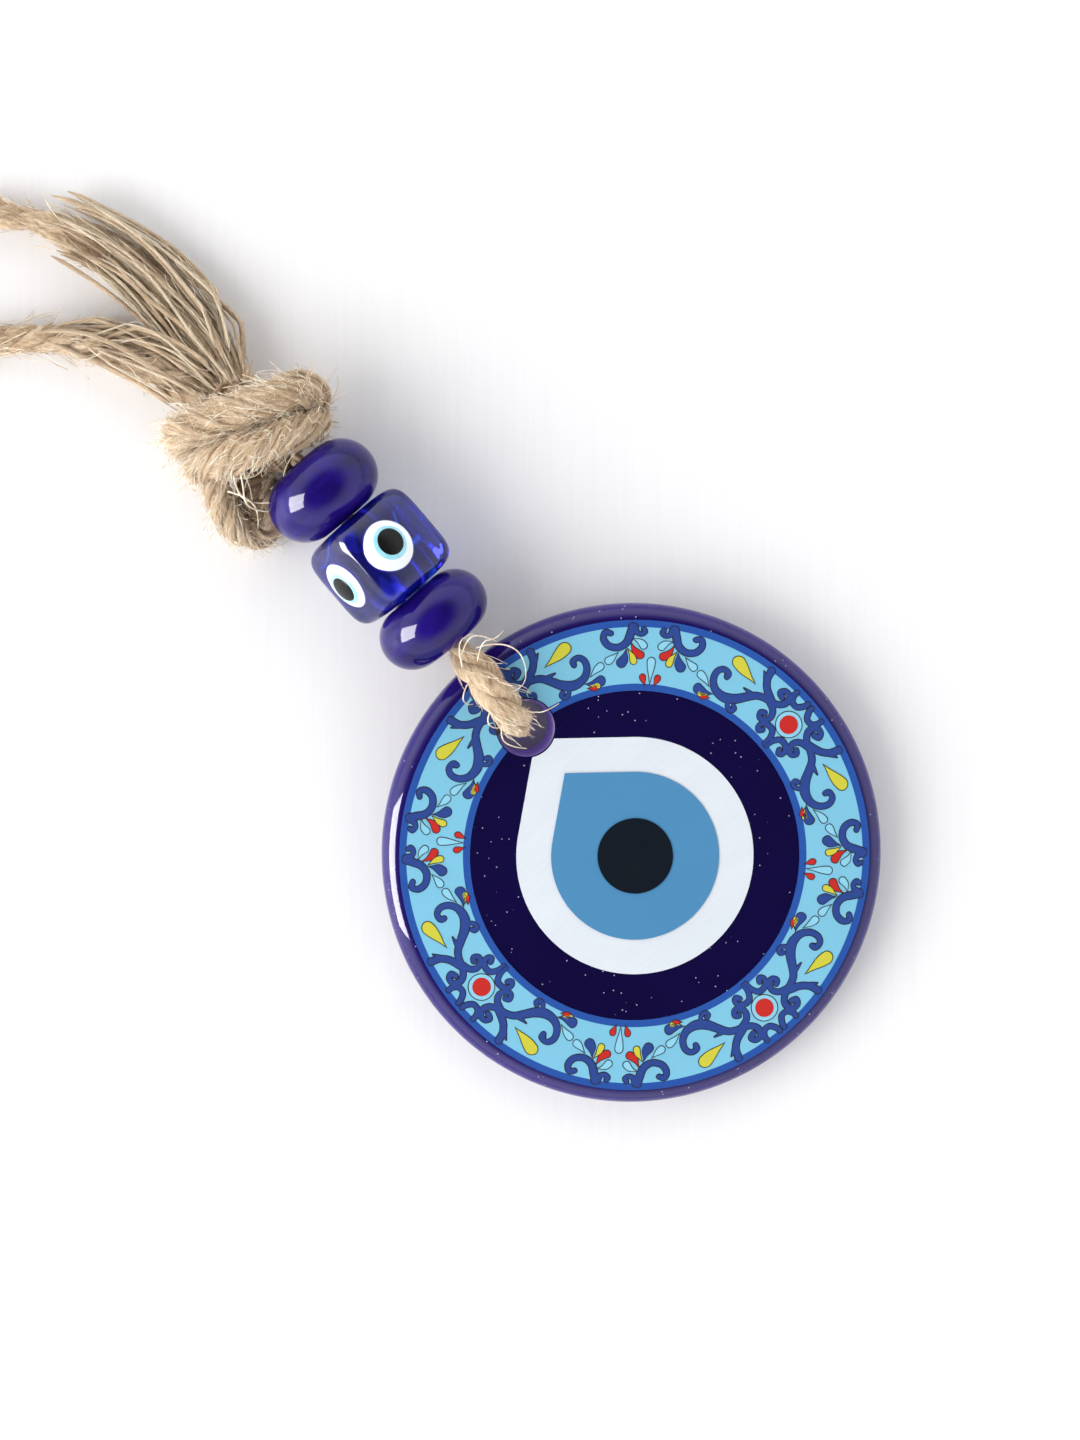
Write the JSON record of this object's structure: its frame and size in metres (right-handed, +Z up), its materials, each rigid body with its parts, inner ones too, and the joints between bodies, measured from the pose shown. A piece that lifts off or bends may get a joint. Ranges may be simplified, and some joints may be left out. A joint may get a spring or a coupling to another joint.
{
  "type": "evil eye wall hanging",
  "caption": "Round cobalt glass evil eye ornament with a printed ring, hung on a knotted jute cord with glass beads.",
  "frame": {"origin": "on the table, in the middle of the plan box of the disc, the beads and the knot", "axes": "+Y up the string from the disc to the knot, +Z up from the table, out of the painted face"},
  "size_m": [0.1058, 0.2471, 0.0247],
  "materials": {
    "cobalt_glass": "polished cast cobalt glass, nearly opaque",
    "bead_glass": "glossy pressed cobalt glass",
    "clear_cobalt_glass": "glossy see-through cobalt glass",
    "print_ground": "light blue transfer print under a gloss coat",
    "print_border": "dark blue transfer print under a gloss coat",
    "print_red": "red transfer print",
    "print_yellow": "yellow transfer print",
    "print_line": "near-black line of the transfer print",
    "white_paint": "white enamel paint, faint brush marks",
    "blue_paint": "mid blue enamel paint",
    "black_paint": "black enamel paint",
    "eye_white_glass": "opaque white glass",
    "eye_blue_glass": "opaque light blue glass",
    "eye_black_glass": "opaque black glass",
    "jute": "natural jute, dry and hairy"
  },
  "bodies": {
    "cord": {"knot": "jute", "bead_run": "jute", "disc_loop": "jute", "hanging_loop": "jute"},
    "disc": {"glass_disc": "cobalt_glass", "ring_border_outer": "print_border", "ring_ground": "print_ground", "ring_border_inner": "print_border", "ring_dots": "print_red", "ring_leaves": "print_yellow", "white_drop": "white_paint", "blue_drop": "blue_paint", "pupil": "black_paint"},
    "lower_rondelle": {"lower_rondelle": "bead_glass"},
    "cube_bead": {"cube_bead": "clear_cobalt_glass", "eye_white_1": "eye_white_glass", "eye_iris_1": "eye_blue_glass", "eye_pupil_1": "eye_black_glass", "eye_white_2": "eye_white_glass", "eye_iris_2": "eye_blue_glass", "eye_pupil_2": "eye_black_glass", "eye_white_3": "eye_white_glass", "eye_iris_3": "eye_blue_glass", "eye_pupil_3": "eye_black_glass", "eye_white_4": "eye_white_glass", "eye_iris_4": "eye_blue_glass", "eye_pupil_4": "eye_black_glass"},
    "upper_rondelle": {"upper_rondelle": "bead_glass"}
  },
  "joints": [
    {"name": "disc_swing", "type": "hinge", "parent": "cord", "child": "disc", "pos_m": [0, -0.00027, 0.00822], "axis": [1, 0, 0], "range_deg": [-45, 45], "deforming": ["disc_loop"]},
    {"name": "lower_rondelle_spin", "type": "hinge", "parent": "cord", "child": "lower_rondelle", "pos_m": [0, 0.0243, 0.012], "axis": [0, 1, 0], "continuous": true},
    {"name": "cube_spin", "type": "hinge", "parent": "cord", "child": "cube_bead", "pos_m": [0, 0.0406, 0.012], "axis": [0, 1, 0], "continuous": true},
    {"name": "upper_rondelle_spin", "type": "hinge", "parent": "cord", "child": "upper_rondelle", "pos_m": [0, 0.0578, 0.012], "axis": [0, 1, 0], "continuous": true}
  ]
}
